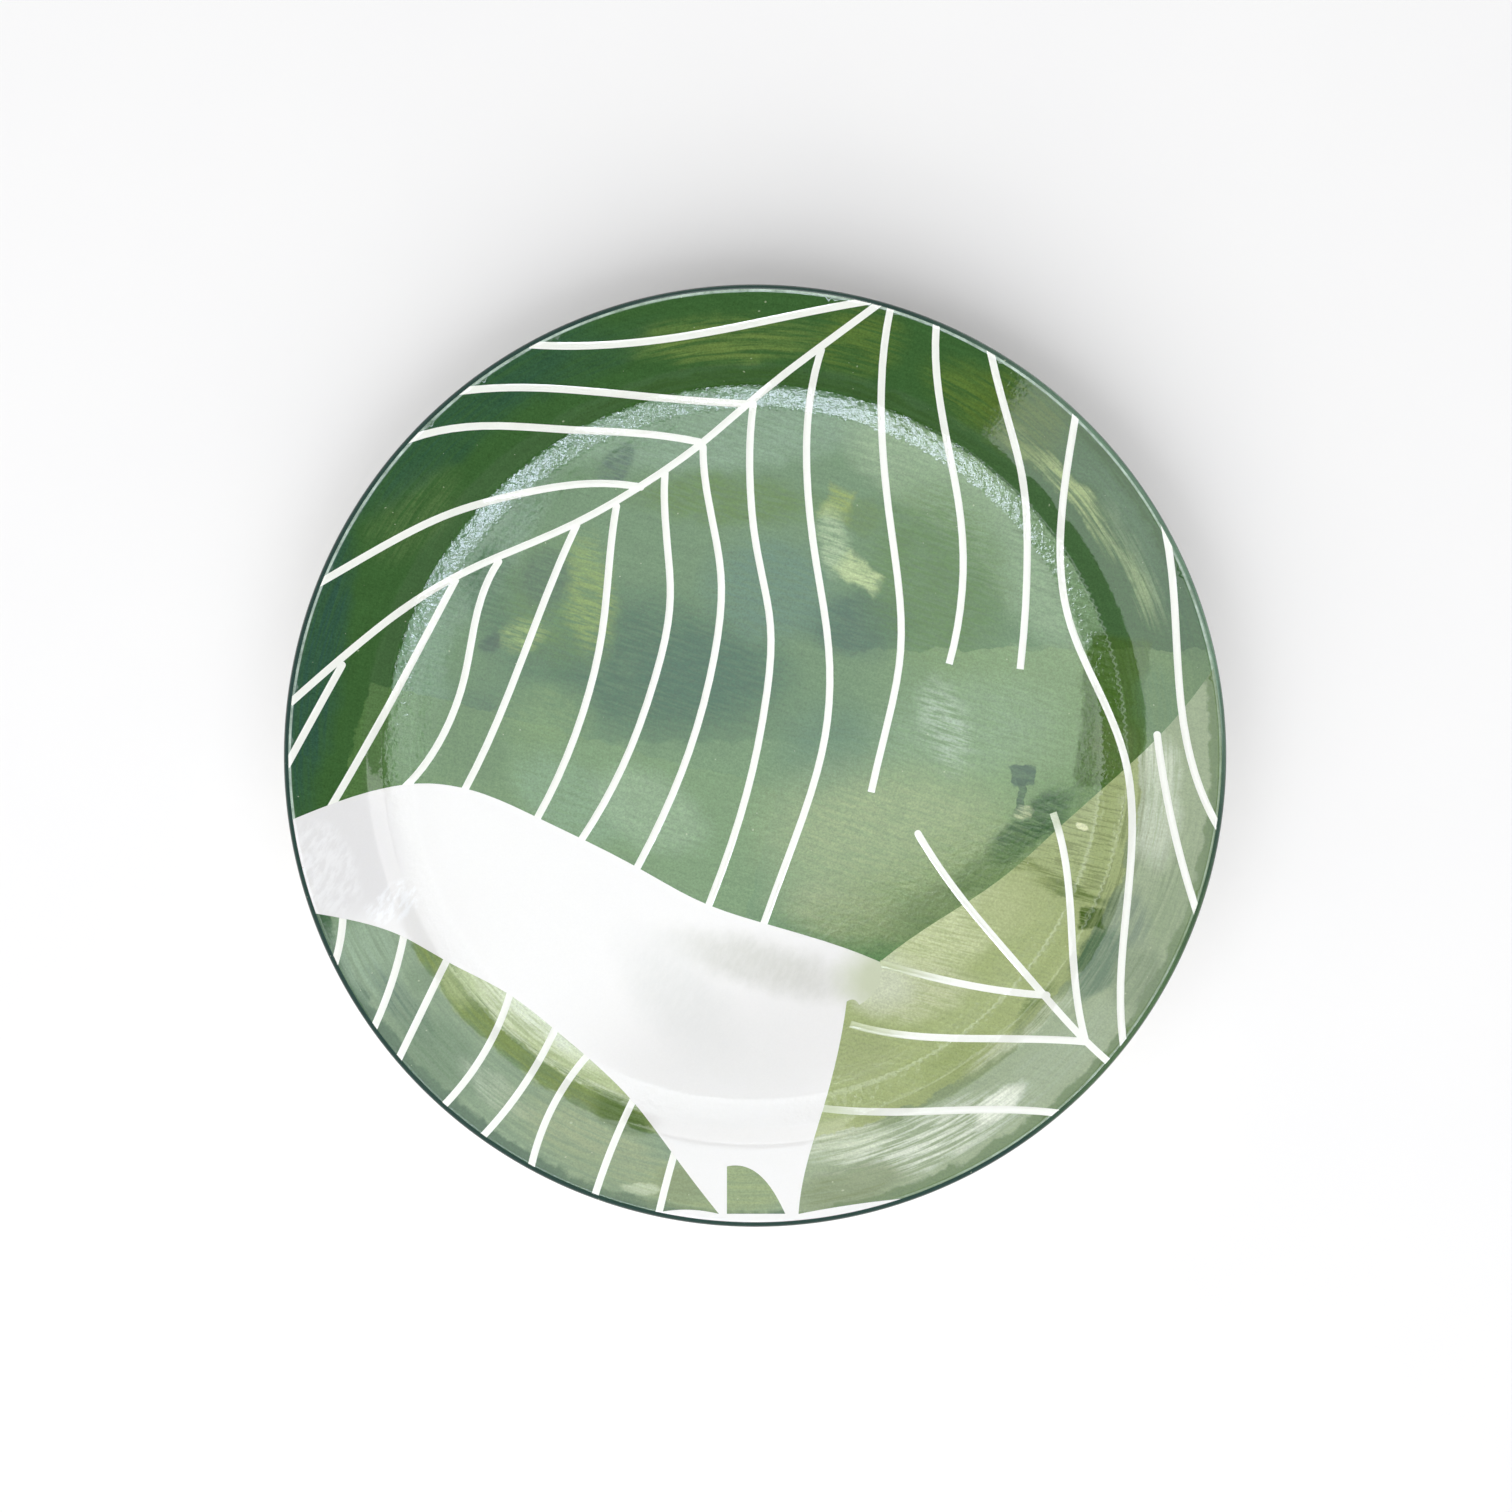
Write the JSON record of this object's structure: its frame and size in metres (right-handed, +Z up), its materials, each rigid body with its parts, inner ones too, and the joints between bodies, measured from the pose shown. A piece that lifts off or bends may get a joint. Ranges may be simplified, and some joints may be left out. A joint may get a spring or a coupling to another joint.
{
  "type": "hand painted ceramic plate",
  "caption": "Round glazed dinner plate with a flat well, a sloping flange and a foot ring, painted with green leaves and white veins.",
  "frame": {"origin": "centre of the plane that the foot ring stands on", "axes": "+Z up, out of the face of the plate; +Y towards the upper leaf, +X towards the right leaf"},
  "size_m": [0.27, 0.27, 0.0191],
  "materials": {
    "clay": "bare fired clay",
    "white_slip": "smooth white slip",
    "white_paint": "white under clear glaze",
    "dark_green_paint": "brushed dark green under clear glaze",
    "sage_paint": "brushed sage green under clear glaze",
    "grey_green_paint": "brushed grey green under clear glaze",
    "vein_slip": "trailed cream white slip under clear glaze",
    "rim_paint": "dark teal under clear glaze",
    "clear_glaze": "clear gloss glaze",
    "white_glaze": "white gloss glaze"
  },
  "bodies": {
    "root": {"clay_body": "clay", "foot_ring": "clay", "white_slip": "white_slip", "white_field_paint": "white_paint", "large_leaf_paint": "dark_green_paint", "right_leaf_paint": "sage_paint", "left_leaf_paint": "grey_green_paint", "small_patch_paint": "grey_green_paint", "large_leaf_veins": "vein_slip", "right_leaf_veins": "vein_slip", "left_leaf_veins": "vein_slip", "rim_band": "rim_paint", "clear_face_glaze": "clear_glaze", "back_glaze": "white_glaze", "foot_recess_glaze": "white_glaze"}
  },
  "joints": []
}
